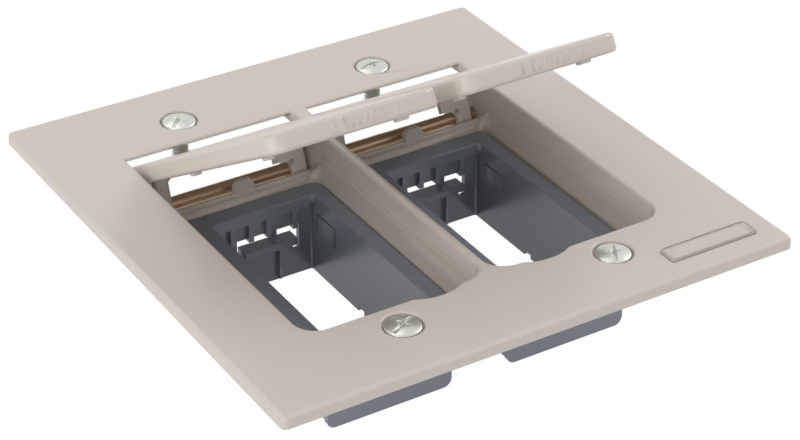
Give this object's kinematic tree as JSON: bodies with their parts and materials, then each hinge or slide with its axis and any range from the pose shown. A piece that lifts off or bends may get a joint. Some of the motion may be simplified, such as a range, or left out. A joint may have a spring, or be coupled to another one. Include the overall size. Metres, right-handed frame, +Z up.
{
  "type": "floor outlet plate",
  "caption": "Square floor outlet plate with hinged flap lids over open module carriers, hinge pins and domed fixing screws.",
  "frame": {"origin": "under the centre of the plate, at the level of the carriers' undersides", "axes": "+X along the hinge pins, +Y towards the hinges, +Z up out of the floor"},
  "size_m": [0.11, 0.1134, 0.061],
  "materials": {
    "plate_plastic": "smooth semi-gloss warm grey",
    "carrier_plastic": "satin blue grey",
    "pin_brass": "darkened",
    "screw_zinc": "zinc plated"
  },
  "bodies": {
    "frame": {"faceplate": "plate_plastic", "module_carrier_left": "carrier_plastic", "module_carrier_right": "carrier_plastic", "hinge_pin_left": "pin_brass", "hinge_pin_right": "pin_brass", "screw_front_left": "screw_zinc", "screw_front_right": "screw_zinc", "screw_back_left": "screw_zinc", "screw_back_right": "screw_zinc"},
    "lid_left": {"lid_left": "plate_plastic"},
    "lid_right": {"lid_right": "plate_plastic"}
  },
  "joints": [
    {"name": "lid_left_hinge", "type": "hinge", "parent": "frame", "child": "lid_left", "pos_m": [-0.0201, 0.0288, 0.0188], "axis": [-1, 0, 0], "range_deg": [-31.65, 16.35]},
    {"name": "lid_right_hinge", "type": "hinge", "parent": "frame", "child": "lid_right", "pos_m": [0.0201, 0.0288, 0.0188], "axis": [-1, 0, 0], "range_deg": [-32.05, 15.95]}
  ]
}
